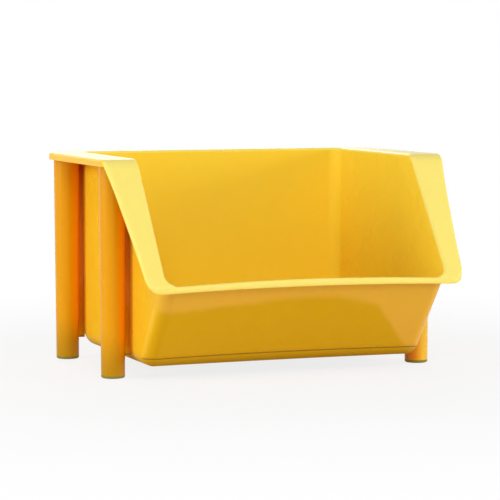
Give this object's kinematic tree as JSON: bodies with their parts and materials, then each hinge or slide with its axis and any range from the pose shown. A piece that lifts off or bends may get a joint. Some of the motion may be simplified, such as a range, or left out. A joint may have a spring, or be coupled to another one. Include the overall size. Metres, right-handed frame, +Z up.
{
  "type": "open-front produce bin",
  "caption": "Yellow moulded bin with an open sloping front, a wide turned-down rim and round tapered legs, for loose produce or bulk goods.",
  "frame": {"origin": "centre of the bounding box at floor level, under the middle of the tub", "axes": "+X across the bin along its longest side, -Y towards the open sloping front, +Z up"},
  "size_m": [0.6, 0.4761, 0.356],
  "materials": {
    "tub_plastic": "satin injection-moulded plastic, golden yellow, light rim",
    "leg_plastic": "satin moulded plastic, golden yellow",
    "foot_plastic": "worn moulded plastic, olive brown",
    "screw_steel": "zinc-plated steel"
  },
  "bodies": {
    "root": {"hopper_tub": "tub_plastic", "front_left_leg": "leg_plastic", "front_right_leg": "leg_plastic", "rear_left_leg": "leg_plastic", "rear_right_leg": "leg_plastic", "front_left_foot_cap": "foot_plastic", "front_right_foot_cap": "foot_plastic", "rear_left_foot_cap": "foot_plastic", "rear_right_foot_cap": "foot_plastic", "leg_screws": "screw_steel"}
  },
  "joints": []
}
